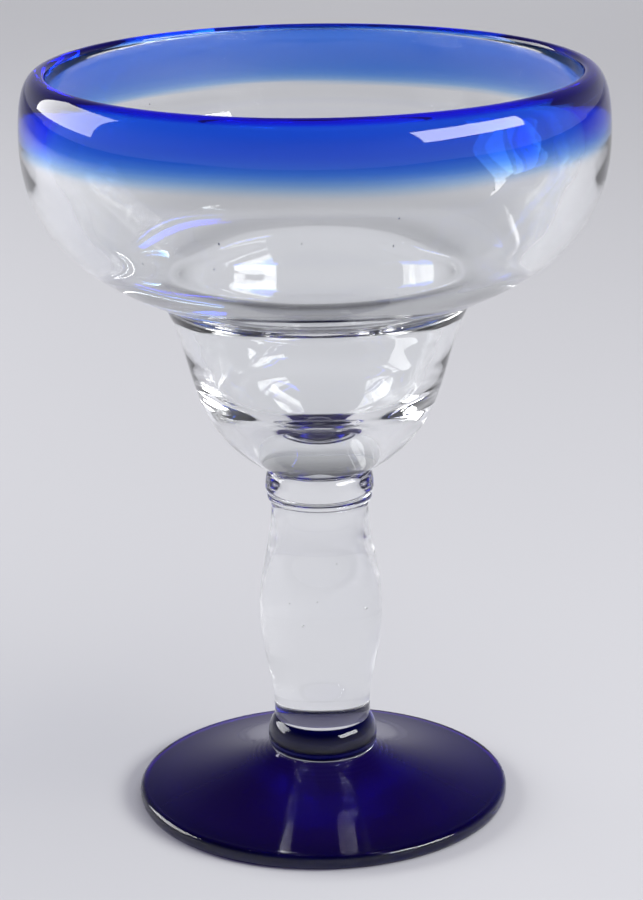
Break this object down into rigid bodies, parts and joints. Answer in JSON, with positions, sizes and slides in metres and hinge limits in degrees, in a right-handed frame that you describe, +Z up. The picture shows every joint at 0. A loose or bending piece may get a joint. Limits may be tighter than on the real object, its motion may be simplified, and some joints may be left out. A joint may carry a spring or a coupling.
{
  "type": "margarita glass",
  "caption": "Stepped wide-bowl stemmed drinking glass, clear with a cobalt band at the lip and a cobalt foot, joined by rounded collars.",
  "frame": {"origin": "centre of the flat resting face under the foot", "axes": "+Z up along the glass's axis of revolution, from the foot to the mouth; X and Y are alike by symmetry"},
  "size_m": [0.1344, 0.1344, 0.178],
  "materials": {
    "cobalt_band": "clear cobalt blue glass, fire-polished",
    "clear_glass": "clear glass, fire-polished, with a few seed bubbles",
    "cobalt_foot": "thick dark cobalt glass, fire-polished"
  },
  "bodies": {
    "root": {"rim_band": "cobalt_band", "bowl": "clear_glass", "upper_collar": "clear_glass", "stem": "clear_glass", "lower_collar": "clear_glass", "foot": "cobalt_foot"}
  },
  "joints": []
}
